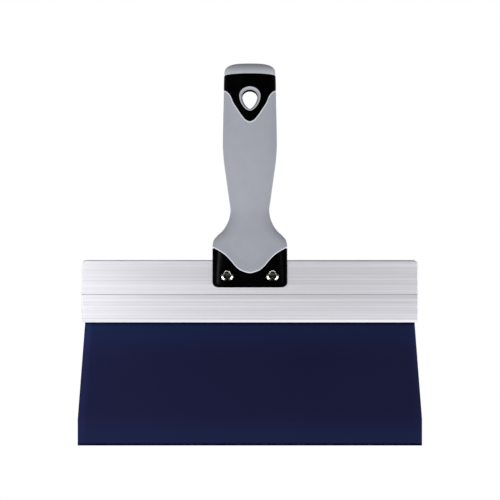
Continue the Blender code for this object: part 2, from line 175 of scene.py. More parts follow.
def cut(piece, cutters, material):
    """Cuts prisms out of a piece, and leaves a plain mesh with the material in the cuts."""
    made = []
    for number, rows in enumerate(cutters):
        rows = np.asarray(rows)
        faces = loft_faces(*rows.shape[:2], closed=False)
        mesh = closed_mesh(f"cutter_{number}", rows.reshape(-1, 3), faces, material)
        cutter = add_object(mesh.name, mesh)
        made.append(cutter)
        modifier = piece.modifiers.new(f"cut_{number}", "BOOLEAN")
        modifier.operation = "DIFFERENCE"
        modifier.material_mode = "TRANSFER"
        modifier.object = cutter
    bpy.context.view_layer.update()
    graph = bpy.context.evaluated_depsgraph_get()
    result = bpy.data.meshes.new_from_object(piece.evaluated_get(graph))
    piece.modifiers.clear()
    piece.data = result
    result.set_sharp_from_angle(angle=CUT_SHARP_ANGLE)
    for cutter in made:
        mesh = cutter.data
        bpy.data.objects.remove(cutter)
        bpy.data.meshes.remove(mesh)


# ---------------------------------------------------------------- the handle's form

HALF_WIDTH = Curve([
    (116.7, 27.6), (146.5, 27.55), (151.0, 26.8), (154.1, 24.5), (158.5, 19.95),
    (163.0, 17.0), (168.0, 15.05), (173.2, 14.3), (180.6, 15.2), (198.0, 17.6),
    (211.6, 19.35), (222.0, 19.95), (240.0, 19.65), (256.0, 19.3), (266.6, 19.2), (272.65, 19.0),
])
HALF_DEPTH = Curve([  # a little less than the CAD's at the palm, to stay inside its box
    (116.7, 7.6), (146.5, 8.6), (160.0, 9.6), (173.2, 10.4), (195.0, 12.2), (218.0, 13.2),
    (245.0, 12.5), (272.65, 12.0),
])
SQUARENESS = Curve([(116.7, 5.5), (146.5, 4.0), (158.0, 2.8), (173.2, 2.3), (220.0, 2.4), (272.65, 2.3)])
TONGUE_RISE = Curve([(116.7, 0.4), (135.0, 1.2), (150.0, 1.9), (160.0, 1.1), (172.0, 0.0)])
TONGUE_HALF_WIDTH = 17.0
FERRULE_SEAM = Curve([
    (0.0, 127.2), (6.4, 128.9), (10.3, 131.8), (14.2, 136.4), (18.9, 141.0), (25.1, 144.8), (27.5, 146.0),
])
BUTT_SEAM = Curve([
    (0.0, 238.2), (2.6, 239.2), (5.5, 242.3), (8.9, 247.3), (12.2, 252.7), (13.9, 256.9), (15.7, 259.4),
    (18.0, 261.2), (19.2, 261.4),
])
FOOT = size_mm("handle_core")[0][2]
FOOT_CORNER_RADIUS = 4.0
FOOT_EDGE_RADIUS = 1.2
PARTING = 272.85  # where the hard band ends and the cap begins
CAP_GAP = 0.3
PARTING_ARCH = 0.6  # how far that seam falls towards the handle's sides
OVERMOULD = 2.6  # thickness of the soft grip over the hard core
LAND_INSET = 0.8  # the core stands this far back in the narrow grooves beside the soft pieces
LAND_TOP = CAP_GAP - 0.05  # how far the land under the cap rises over the band's edge
SPIGOT_INSET_X = 6.0
SPIGOT_INSET_Y = 5.5
SPIGOT_HEIGHT = 4.5  # all hidden: it stands inside the cap's mesh, which has no socket
AROUND = 256
ANGLES = 2 * math.pi * (np.arange(AROUND) + 0.5) / AROUND


def section(angle, z, inset_x=0.0, inset_y=None, rise=0.0):
    """Points on the handle's cross-section at height z, by direction seen from its centre."""
    inset_y = inset_x if inset_y is None else inset_y
    power = SQUARENESS(z)
    reach = (np.abs(np.cos(angle)) ** power + np.abs(np.sin(angle)) ** power) ** (-1 / power)
    x = (HALF_WIDTH(z) - inset_x) * reach * np.cos(angle)
    y = (HALF_DEPTH(z) - inset_y) * reach * np.sin(angle)
    hump = np.clip(1 - (x / TONGUE_HALF_WIDTH) ** 2, 0, None) ** 2
    return x, y + np.sign(y) * rise * TONGUE_RISE(z) * hump


def ring(z, inset_x=0.0, inset_y=None, rise=0.0, lift=0.0):
    """One row of points round the handle. lift moves its front and rear outwards."""
    z = np.broadcast_to(np.asarray(z, float), ANGLES.shape)
    x, y = section(ANGLES, z, inset_x, inset_y, rise)
    y = y + np.sign(y) * lift * np.abs(np.sin(ANGLES)) ** 2
    return np.stack([x, y, z], axis=1)


def seam_heights(seam, distance, inset=0.0):
    """Height on each column of the ring at a distance from a seam, measured square to it."""
    z = np.full(AROUND, seam.ys.mean())
    for _ in range(40):
        x = np.abs(section(ANGLES, z, inset)[0])
        z = seam(x) + distance * np.sqrt(1 + seam.slope(x) ** 2)
    return z


def lip(seam, side, start, radius, depth, rise, lift, steps=7):
    """Rows of a rounded lip along a seam, from its hidden foot to the open surface.

    side is 1 where the surface lies above the seam and -1 where it lies below it.
    """
    rows = [ring(seam_heights(seam, side * start, depth), depth, rise=rise, lift=lift)]
    for angle in quarter(steps):
        inset = radius * (1 - math.sin(angle))
        distance = side * (start + radius * (1 - math.cos(angle)))
        rows.append(ring(seam_heights(seam, distance, inset), inset, rise=rise, lift=lift))
    return rows


def between(low, high, count, **options):
    """Rows spread evenly between two rows' heights, leaving out both ends."""
    shares = np.linspace(0, 1, count + 2)[1:-1]
    return [ring(low[:, 2] * (1 - s) + high[:, 2] * s, **options) for s in shares]


LIP_START = 0.1  # distance of the grip's lips from their seams
LIP_RADIUS = 0.6
LOWER_LIP_LIFT = 0.45
LIP_FADE = 9.0  # distance over which the raised lower lip falls back to the plain surface
GRIP_STEPS = 260
GRIP_INNER_STEPS = 42
LIP_HIGHLIGHT_TONE = 1.0  # how far each soft surface goes towards the pale colour; on the grip's lips it is a painted highlight along the seams
# The cap is paler than the grip; its tone falls a little from bottom to top, which is painted shade on its
# top.
CAP_LOW_TONE = 0.45
CAP_HIGH_TONE = 0.4
# Painted light: the trim rings are a little paler than the grip.
HANG_RING_TONE = 0.15


def add_grip(material):
    """The soft sleeve: its lower lip, outer surface, upper lip and inner surface, closed into a tube."""
    depth = OVERMOULD - FIT_GAP
    low = lip(FERRULE_SEAM, 1, LIP_START, LIP_RADIUS, depth, 1.0, LOWER_LIP_LIFT)
    high = lip(BUTT_SEAM, -1, LIP_START, LIP_RADIUS, depth, 1.0, 0.0)[::-1]
    rows = list(low)
    bottom, top = low[-1][:, 2], high[0][:, 2]
    for share in np.linspace(0, 1, GRIP_STEPS)[1:-1]:
        z = bottom * (1 - share) + top * share
        fade = np.clip(1 - (z - bottom) / LIP_FADE, 0, 1)
        rows.append(ring(z, rise=1.0, lift=LOWER_LIP_LIFT * fade * fade * (3 - 2 * fade)))
    rows += high
    # Painted highlight: the lips' rows go towards the pale colour, as if their rounded edges caught the
    # light.
    tone = np.zeros(len(rows))
    from_foot = np.clip((np.arange(len(low)) - 1) / 2, 0, 1)
    tone[:len(low)] = from_foot * LIP_HIGHLIGHT_TONE
    tone[-len(high):] = from_foot[::-1] * LIP_HIGHLIGHT_TONE
    tone[-len(high) - 1] = LIP_HIGHLIGHT_TONE / 2
    inner_low, inner_high = rows[0][:, 2], rows[-1][:, 2]
    for share in np.linspace(1, 0, GRIP_INNER_STEPS)[1:-1]:
        rows.append(ring(inner_low * (1 - share) + inner_high * share, depth))
    tone = np.concatenate([tone, np.zeros(len(rows) - len(tone))])
    return add_loft("grip_sleeve_soft", rows, material, ["grip_sleeve"], closed=True, tone=tone)


def parting_fall(row):
    """How far the seam under the cap lies below its highest point, for each point of a row."""
    return PARTING_ARCH * (row[:, 0] / HALF_WIDTH(PARTING)) ** 2


def add_core(material, cut_material):
    """The hard moulding as one skin: foot, ferrule, hidden spine, shield round the hang hole, and spigot."""
    rows = []
    for angle in quarter(12):
        z = FOOT + FOOT_CORNER_RADIUS * (1 - math.cos(angle))
        corner = FOOT_CORNER_RADIUS * (1 - math.sin(angle))
        edge_angle = math.acos(max(0.0, 1 - (z - FOOT) / FOOT_EDGE_RADIUS))
        edge = FOOT_EDGE_RADIUS * (1 - math.sin(edge_angle))
        rows.append(ring(z, corner, edge))
    seam_gap, rim = 0.4, 0.3

    def hard_edge(seam, side):
        """Rows from the spine over a land, which backs the groove at the grip's lip, to the surface."""
        land = (LIP_START - 0.03) * -side
        made = [ring(seam_heights(seam, land, inset), inset) for inset in (OVERMOULD, LAND_INSET)]
        made.append(ring(seam_heights(seam, side * seam_gap, LAND_INSET), LAND_INSET))
        for angle in quarter(5):
            inset = rim * (1 - math.sin(angle))
            distance = side * (seam_gap + rim * (1 - math.cos(angle)))
            made.append(ring(seam_heights(seam, distance, inset), inset))
        return made

    ferrule_edge = hard_edge(FERRULE_SEAM, -1)[::-1]
    rows += between(rows[-1], ferrule_edge[0], count=70)
    rows += ferrule_edge
    butt_edge = hard_edge(BUTT_SEAM, 1)
    rows += between(ferrule_edge[-1], butt_edge[0], count=60, inset_x=OVERMOULD)
    rows += butt_edge
    top_edge = [
        ring(PARTING - rim * (1 - math.cos(angle)), rim * (1 - math.sin(angle)))
        for angle in quarter(5)[::-1]
    ]
    for up in (0.0, LAND_TOP):
        top_edge.append(ring(PARTING, LAND_INSET))
        top_edge[-1][:, 2] += up
    for row in top_edge:
        row[:, 2] -= parting_fall(row)
    rows += between(butt_edge[-1], top_edge[0], count=60)
    rows += top_edge
    for up in (LAND_TOP, SPIGOT_HEIGHT):
        rows.append(ring(PARTING, SPIGOT_INSET_X, SPIGOT_INSET_Y))
        rows[-1][:, 2] += up
    core = add_loft("handle_core_moulding", rows, material, ["handle_core"])
    cut(core, core_cutters(), cut_material)
    return core


# ---------------------------------------------------------------- the hang hole

HOOK_SEAT = MOUNTS["hang_hole"]["pos_m"][2] / MM - EDGE_Z / MM
HOLE_TOP_RADIUS = 5.5
HOLE_TOP_HEIGHT = 4.7  # from the widest place up to the top
HOLE_SIDE_RADIUS = 12.0
HOLE_TIP_RADIUS = 1.8
HOLE_SIDE_START = math.radians(3.2)  # how far below the horizontal the long sides start
HOLE_FLATTENING = 0.018  # how much less the outline grows downwards, per millimetre of growth
HOLE_WEB_HALF = 6.0  # the hard core between the two trim rings
RING_WALL = 2.3
RING_SEAT_GAP = 0.15
RING_RIM_RADIUS = 0.55
RING_RIM_TURN = math.radians(62)  # of the rim's inner side, before it goes on as the funnel
RING_PROUD = 0.15  # height of the rim over the core's surface
RING_SKIRT = 0.8  # depth under the rim of a row that keeps the outer wall straight
RING_THROAT_DEPTH = 0.35


def drop_outline(offset, count=192):
    """The hang hole's outline in x, z, grown by offset: a round top, two long sides and a small tip."""
    top, side, tip = (radius + offset for radius in (HOLE_TOP_RADIUS, HOLE_SIDE_RADIUS, HOLE_TIP_RADIUS))
    centre = HOOK_SEAT - HOLE_TOP_HEIGHT
    reach = HOLE_SIDE_RADIUS - HOLE_TOP_RADIUS
    side_x = -reach * math.cos(HOLE_SIDE_START)
    side_z = centre + reach * math.sin(HOLE_SIDE_START)
    tip_z = side_z - math.sqrt((HOLE_SIDE_RADIUS - HOLE_TIP_RADIUS) ** 2 - side_x**2)
    side_end = math.atan2(side_z - tip_z, -side_x)
    arcs = [
        (0.0, centre, top, math.pi / 2, -HOLE_SIDE_START, 4 / 9),
        (side_x, side_z, side, -HOLE_SIDE_START, -side_end, 3 / 9),
        (0.0, tip_z, tip, -side_end, -math.pi / 2, 2 / 9),
    ]
    right = []
    for x, z, radius, start, end, share in arcs:
        steps = round(count / 2 * share)
        turns = start + (end - start) * np.arange(steps) / steps
        right.append(np.stack([x + radius * np.cos(turns), z + radius * np.sin(turns)], axis=1))
    right = np.concatenate([*right, [[0.0, tip_z - tip]]])
    left = right[-2:0:-1] * np.array([-1.0, 1.0])
    outline = np.concatenate([right, left])
    up = outline[:, 1] - centre
    squash = np.where(up > 0, HOLE_TOP_HEIGHT / HOLE_TOP_RADIUS, 1 - HOLE_FLATTENING * offset)
    outline[:, 1] = centre + up * squash
    return outline


def surface_y(x, z):
    """Half the handle's thickness at x, z."""
    power = SQUARENESS(z)
    share = np.minimum(1.0, np.abs(x) / HALF_WIDTH(z))
    return HALF_DEPTH(z) * (1 - share**power) ** (1 / power)


def prism(outline, low, high):
    """An outline in x, z drawn out from y = low to y = high."""
    return [np.insert(outline, 1, y, axis=1) for y in (low, high)]


def circle(x, z, radius, count=96):
    turns = 2 * math.pi * np.arange(count) / count
    return np.stack([x + radius * np.cos(turns), z + radius * np.sin(turns)], axis=1)


def core_cutters():
    """The slot for the bar, the hang hole with a seat for each ring, and the rivets' holes and seats."""
    slot_half = WEB_HALF + FIT_GAP
    slot_top = BAR_TOP + FIT_GAP
    slot = np.array([[-FAR, FOOT - FAR], [FAR, FOOT - FAR], [FAR, slot_top], [-FAR, slot_top]])
    ring_seat = drop_outline(RING_WALL + RING_SEAT_GAP)
    cutters = [
        prism(slot, -slot_half, slot_half),
        prism(drop_outline(0.0), -FAR, FAR),
        prism(ring_seat, -FAR, -HOLE_WEB_HALF),
        prism(ring_seat, HOLE_WEB_HALF, FAR),
    ]
    for x in rivet_places():
        cutters.append(prism(circle(x, RIVET_HEIGHT, RIVET_HOLE_RADIUS), -FAR, FAR))
        rivet_seat = circle(x, RIVET_HEIGHT, SPOT_FACE_RADIUS)
        cutters.append(prism(rivet_seat, -FAR, -SPOT_FACE))
        cutters.append(prism(rivet_seat, SPOT_FACE, FAR))
    return cutters


def add_hang_ring(name, side, node, material):
    """A funnel with a rounded rim, from the handle's surface down to the hard web in the hole."""
    seat = HOLE_WEB_HALF + FIT_GAP
    rim = RING_RIM_RADIUS
    rows = []

    def add(offset, y):
        outline = drop_outline(offset)
        depths = np.broadcast_to(side * y, outline[:, 0].shape)
        rows.append(np.stack([outline[:, 0], depths, outline[:, 1]], axis=1))

    def under_surface(offset, depth):
        outline = drop_outline(offset)
        return surface_y(outline[:, 0], outline[:, 1]) - depth

    def add_under_surface(offset, depth):
        add(offset, under_surface(offset, depth))

    add(RING_WALL, seat)
    add_under_surface(RING_WALL, rim + RING_SKIRT)
    for angle in quarter(6):
        add_under_surface(RING_WALL - rim * (1 - math.cos(angle)), rim * (1 - math.sin(angle)) - RING_PROUD)
    crest = RING_WALL - rim
    for turn in RING_RIM_TURN * np.linspace(0, 1, 6)[1:]:
        add_under_surface(crest - rim * math.sin(turn), rim * (1 - math.cos(turn)) - RING_PROUD)
    funnel = crest - rim * math.sin(RING_RIM_TURN)
    funnel_y = under_surface(funnel, rim * (1 - math.cos(RING_RIM_TURN)) - RING_PROUD)
    for share in np.linspace(0, 1, 8)[1:]:
        add(funnel * (1 - share), funnel_y * (1 - share) + (seat + RING_THROAT_DEPTH) * share)
    add(0.0, seat)
    # The tone paints light: the rings come out a little paler than the grip.
    return add_loft(name, rows, material, [node], closed=True, tone=HANG_RING_TONE)


# ---------------------------------------------------------------- the cap

CAP_TOP = 281.6
CAP_INSET = 0.2
CAP_BASE_INSET = 7.0  # of the flat middle of its underside
CAP_RIM_RADIUS = 0.35
CAP_SQUARENESS = 3.0  # of its outline seen from the front
CAP_SIDE_SQUARENESS = 2.1  # and seen from the side
CAP_STEPS = 60
POLE_SHARE = 0.004  # size of the small flat at the very top, as a share of the cap's outline


def add_end_cap(material):
    """The dome over the band, on a rounded rim that follows the arch of the seam."""
    base = PARTING + CAP_GAP
    rim = CAP_RIM_RADIUS
    wall_top = base + rim
    height = CAP_TOP - wall_top
    rows = [ring(PARTING, CAP_BASE_INSET)]
    rows[-1][:, 2] = base
    for angle in quarter(5):
        row = ring(PARTING, CAP_INSET + rim * (1 - math.sin(angle)))
        row[:, 2] = base + rim * (1 - math.cos(angle)) - parting_fall(row)
        rows.append(row)
    for up in np.minimum(np.sin(quarter(CAP_STEPS))[1:], 0.99999):
        row = ring(PARTING, CAP_INSET)
        row[:, 0] *= max((1 - up**CAP_SQUARENESS) ** (1 / CAP_SQUARENESS), POLE_SHARE)
        row[:, 1] *= max((1 - up**CAP_SIDE_SQUARENESS) ** (1 / CAP_SIDE_SQUARENESS), POLE_SHARE)
        row[:, 2] = wall_top + height * up
        rows.append(row)
    # Paler than the grip, and a little less pale towards the top: painted shade.
    shares = np.clip([(row[0, 2] - base) / (CAP_TOP - base) for row in rows], 0, 1)
    tone = CAP_LOW_TONE + (CAP_HIGH_TONE - CAP_LOW_TONE) * shares
    return add_loft("end_cap_soft", rows, material, ["end_cap"], tone=tone)


# ---------------------------------------------------------------- bar and blade

(_, _, BAR_BOTTOM), (BAR_HALF, _, BAR_TOP) = size_mm("back_bar")
BAR_CORNER_RADIUS = 3.8
WEB_HALF = 1.7
STEP_TOP = 111.65
STEP_BOTTOM = 111.4
CLAMP_HALF = 2.2
LIP_HALF = 2.0
LIP_HEIGHT = 1.35
LIP_TOE = 1.3  # half the bar's thickness at its very bottom
SLOT_HALF = 0.55
SLOT_CHAMFER = 0.15
BAR_END_ROUND = 0.5
BAR_END_DRAW = 0.6  # how far its faces draw in at the ends, as a share of the rounding
DIE_LINE_STEP = 0.45
DIE_LINE_DEPTH = 0.008
CROWN = 0.06  # how far each face of the bar bulges between its edges
TOP_EDGE_RADIUS = 0.45
BAR_STATION_STEP = 6.0
BAR_CUT_REACH = 10.0
BAR_SEED = 7

EDGE_HALF, BLADE_HALF_THICKNESS, BLADE_TOP = size_mm("blade")[1]
BLADE_KNEE = 19.5
BLADE_TOP_HALF = 121.5  # where it goes into the bar
BLADE_ROUND_OFF = 0.12
BLADE_THINNING = 0.1  # on each face, at the very edge
BLADE_CHAMFER = 0.035


def bar_face():
    """One side of the bar's profile, from its slot round to the top, as (distance from the blade, z)."""
    rng = np.random.default_rng(BAR_SEED)
    points = [(SLOT_HALF, BLADE_TOP + FIT_GAP), (SLOT_HALF, BAR_BOTTOM + SLOT_CHAMFER)]
    points.append((SLOT_HALF + 0.1, BAR_BOTTOM))
    points += [(LIP_TOE - 0.05, BAR_BOTTOM), (LIP_TOE, BAR_BOTTOM + 0.03)]
    low, high = BAR_BOTTOM + LIP_HEIGHT, STEP_BOTTOM - 0.1
    for z in np.arange(low, high, DIE_LINE_STEP):
        share = (z - low) / (high - low)
        out = LIP_HALF + (CLAMP_HALF - LIP_HALF) * share - CROWN * (2 * share - 1) ** 2
        points.append((out + rng.normal(0, DIE_LINE_DEPTH), z))
    points += [(CLAMP_HALF - CROWN, STEP_BOTTOM), (WEB_HALF - CROWN, STEP_TOP)]
    edge = TOP_EDGE_RADIUS
    low, high = STEP_TOP + 0.1, BAR_TOP - edge
    for z in np.arange(low + DIE_LINE_STEP, high - DIE_LINE_STEP / 2, DIE_LINE_STEP):
        out = WEB_HALF - CROWN * (2 * (z - low) / (high - low) - 1) ** 2
        points.append((out + rng.normal(0, DIE_LINE_DEPTH), z))
    for angle in quarter(8):
        out = WEB_HALF - CROWN - edge * (1 - math.cos(angle))
        points.append((out, BAR_TOP - edge * (1 - math.sin(angle))))
    return np.array(points)


def add_back_bar(material):
    """The profile drawn along x. Towards each end its top drops round the corner and its faces draw in."""
    side = bar_face()
    profile = np.concatenate([side * np.array([-1, 1]), side[::-1]])
    corner = BAR_HALF - BAR_CORNER_RADIUS + BAR_CORNER_RADIUS * np.sin(quarter(14))
    rounded = BAR_HALF - BAR_END_ROUND + BAR_END_ROUND * np.sin(quarter(6))
    middle = np.arange(0, BAR_HALF - BAR_STATION_STEP, BAR_STATION_STEP)
    half_stations = np.unique(np.concatenate([middle, corner, rounded]).round(4))
    stations = np.concatenate([-half_stations[:0:-1], half_stations])
    rows = []
    for x in stations:
        past = max(0.0, abs(x) - (BAR_HALF - BAR_CORNER_RADIUS))
        drop = BAR_CORNER_RADIUS - math.sqrt(max(0.0, BAR_CORNER_RADIUS**2 - past**2))
        past = max(0.0, abs(x) - (BAR_HALF - BAR_END_ROUND))
        draw_in = BAR_END_ROUND - math.sqrt(max(0.0, BAR_END_ROUND**2 - past**2))
        y, z = profile[:, 0].copy(), profile[:, 1].copy()
        share = np.clip((z - STEP_TOP) / (BAR_TOP - STEP_TOP), 0, 1)
        z = z - drop * share
        outside = np.abs(y) > SLOT_HALF + 0.1
        y = np.where(outside, np.sign(y) * (np.abs(y) - draw_in * BAR_END_DRAW), y)
        rows.append(np.stack([np.full_like(y, x), y, z], axis=1))
    bar = add_loft("back_bar_extrusion", rows, material, ["back_bar"], sharp_degrees=25)
    holes = [circle(x, RIVET_HEIGHT, RIVET_HOLE_RADIUS) for x in rivet_places()]
    cut(bar, [prism(hole, -BAR_CUT_REACH, BAR_CUT_REACH) for hole in holes], material)
    return bar


def add_blade(material):
    """A thin sheet with slightly rounded edges. Its rows run up from the working edge."""
    heights = np.concatenate([
        [0.0, 0.04, BLADE_ROUND_OFF, 0.8],
        np.arange(3.0, BLADE_KNEE - 1, 3.0),
        [BLADE_KNEE - 0.5, BLADE_KNEE, BLADE_KNEE + 0.5],
        np.arange(BLADE_KNEE + 4, BLADE_TOP, 6.0),
        [BLADE_TOP],
    ])
    across = np.linspace(-1, 1, 42)[1:-1]
    rows = []
    for z in heights:
        taper = np.clip((z - BLADE_KNEE) / (BAR_BOTTOM - BLADE_KNEE), 0, 1)
        half = EDGE_HALF + (BLADE_TOP_HALF - EDGE_HALF) * taper
        thin = BLADE_HALF_THICKNESS - BLADE_THINNING * max(0.0, 1 - z / BLADE_ROUND_OFF) ** 2
        x = across * (half - BLADE_ROUND_OFF) / across[-1]
        front = np.stack([x, np.full_like(x, -thin), np.full_like(x, z)], axis=1)
        right = np.array([
            [half - BLADE_CHAMFER, -thin + BLADE_CHAMFER, z],
            [half, -thin + BLADE_ROUND_OFF, z],
            [half, thin - BLADE_ROUND_OFF, z],
            [half - BLADE_CHAMFER, thin - BLADE_CHAMFER, z],
        ])
        rear = front[::-1] * np.array([1, -1, 1])
        left = right[::-1] * np.array([-1, 1, 1])
        rows.append(np.concatenate([front, right, rear, left]))
    return add_loft("blade_sheet", rows, material, ["blade"], sharp_degrees=30)


# ---------------------------------------------------------------- rivets

RIVET_HEIGHT = 125.6
SHANK_RADIUS = 2.5
RIVET_HOLE_RADIUS = SHANK_RADIUS + FIT_GAP
SPOT_FACE_RADIUS = 5.3
SPOT_FACE = 7.3  # distance of the flat rivet seats from the blade's plane
ROLL_RADIUS = 4.4
ROLL_CREST = 3.0
ROLL_BEND_END = 3.5  # from here the roll falls off evenly to its rim
ROLL_SLOPE = 0.84
ROLL_EDGE = 0.12
WASHER_RADIUS = 4.55
WASHER_BEND = 0.22
HEAD_RADIUS = 4.7
HEAD_RIM = 0.35
PETALS = 6
PETAL_DEPTH = 0.08
POLE_RADIUS = 0.01
RIVET_INSIDE = [  # radius, depth behind the front, and how dark it is painted, as shade
    (POLE_RADIUS, 4.6, 0.6), (1.5, 4.5, 0.6), (1.75, 4.0, 0.6), (1.8, 2.4, 0.6), (1.86, 1.7, 0.6),
    (1.98, 1.1, 0.6), (2.14, 0.62, 0.85), (2.34, 0.36, 0.93), (2.54, 0.2, 0.93), (2.8, 0.1, 0.85),
]
# Painted shade on the roll starts at this radius.
SHADE_FROM_RADIUS = 2.2


def rivet_places():
    """The rivets' x, left first."""
    lows, highs = zip(*(size_mm(node) for node in ("rivet_left", "rivet_right")))
    return [(low[0] + high[0]) / 2 for low, high in zip(lows, highs)]


def turned(name, x, profile, material, node, closed=False, wave=None, painted_shade=None, around=120):
    """A piece turned about a rivet's axis from a profile of (radius, y, tone).

    Round the axis, wave shifts y and the shade function raises the tone, to paint shade.
    """
    turns = 2 * math.pi * np.arange(around) / around
    rows = []
    for radius, y, _ in profile:
        depths = np.full(around, float(y))
        if wave:
            depths = depths + wave(radius, y, turns)
        heights = RIVET_HEIGHT + radius * np.sin(turns)
        rows.append(np.stack([x + radius * np.cos(turns), depths, heights], axis=1))
    tone = np.array([np.full(around, float(point[2])) for point in profile])
    if painted_shade:
        for row, (radius, y, _) in zip(tone, profile):
            row[:] = np.maximum(row, painted_shade(radius, y, turns))
    return add_loft(name, rows, material, [node], closed=closed, sharp_degrees=50, tone=tone)


def tube_profile(front, rear, roll_seat):
    """The profile from the bottom of the hollow, over the roll and down the shank, to the rear head."""
    profile = [(radius, front + depth, tone) for radius, depth, tone in RIVET_INSIDE]
    bend = ROLL_BEND_END - ROLL_CREST
    for share in np.linspace(0, 1, 9):
        profile.append((ROLL_CREST + bend * share, front + 0.05 + bend * ROLL_SLOPE * share**2 / 2, 0))
    down = front + 0.05 + bend * ROLL_SLOPE / 2
    for share in np.linspace(0, 1, 5)[1:]:
        out = (ROLL_RADIUS - 0.06 - ROLL_BEND_END) * share
        profile.append((ROLL_BEND_END + out, down + out * ROLL_SLOPE, 0))
    head_seat = SPOT_FACE + FIT_GAP
    dome_foot = head_seat + HEAD_RIM
    profile += [
        (ROLL_RADIUS - 0.04, roll_seat - ROLL_EDGE - 0.1, 0),
        (ROLL_RADIUS, roll_seat - ROLL_EDGE, 0),
        (ROLL_RADIUS - ROLL_EDGE / 2, roll_seat, 0),
        (SHANK_RADIUS, roll_seat, 0),
        (SHANK_RADIUS, head_seat, 0),
        (HEAD_RADIUS - 0.15, head_seat, 0),
        (HEAD_RADIUS, head_seat + 0.12, 0),
        (HEAD_RADIUS, dome_foot, 0),
    ]
    for angle in quarter(14)[1:]:
        radius = max(HEAD_RADIUS * math.cos(angle), POLE_RADIUS)
        profile.append((radius, dome_foot + (rear - dome_foot) * math.sin(angle), 0))
    return profile


def washer_profile(front, rear):
    """A flat ring whose outer edge bends back a little."""
    inner = SHANK_RADIUS + FIT_GAP
    profile = [(inner, rear, 0), (WASHER_RADIUS - 0.05, rear, 0), (WASHER_RADIUS, rear - 0.05, 0)]
    for angle in quarter(6):
        inset = WASHER_BEND * (1 - math.cos(angle))
        depth = WASHER_BEND * (1 - math.sin(angle))
        profile.append((WASHER_RADIUS - inset, front + depth, 0))
    return profile + [(inner + 0.1, front, 0), (inner, front + 0.1, 0)]


def add_rivet(side_name, x, first_petal, material):
    """A semi-tubular rivet: its hollow end is flared and rolled down over the washer at the front."""
    node, washer_node = f"rivet_{side_name}", f"rivet_washer_{side_name}"
    (_, front, _), (_, rear, _) = size_mm(node)
    (_, washer_front, _), (_, washer_rear, _) = size_mm(washer_node)
    roll_seat = washer_front - FIT_GAP

    def petals(radius, y, turns):
        """The tube's wall has split a little as it flared, into petals between shallow grooves."""
        if y > roll_seat:
            return 0.0
        strength = math.exp(-((radius - 2.3) / 0.5) ** 2)
        return PETAL_DEPTH * strength * np.abs(np.cos((turns - first_petal) * PETALS / 2)) ** 5

    def painted_shade(radius, y, turns):
        """Painted shade on the roll's slope above the rivet's middle, on its lower edge, and in a gap at its
        foot.
        """
        if y > washer_rear or radius < SHADE_FROM_RADIUS:
            return 0.0
        across, up = radius * np.cos(turns), radius * np.sin(turns)
        foot = np.clip((1.5 - np.abs(across)) / 0.5, 0, 1) * (up < 0)
        low = np.clip((-up - 3.15) / 0.4, 0, 1)
        high = np.clip((up - 0.3) / 0.7, 0, 1) * (radius > ROLL_CREST + 0.1)
        if radius <= ROLL_BEND_END:
            high = high * np.clip((2.7 - up) / 0.5, 0, 1)
        return np.maximum(np.maximum(foot, low), high)

    profile = tube_profile(front, rear, roll_seat)
    tube = turned(f"rivet_{side_name}_tube", x, profile, material, node, wave=petals, painted_shade=painted_shade)
    profile = washer_profile(washer_front, washer_rear)
    washer = turned(
        f"rivet_washer_{side_name}_ring", x, profile, material, washer_node, closed=True, painted_shade=painted_shade
    )
    return tube, washer


# ---------------------------------------------------------------- materials


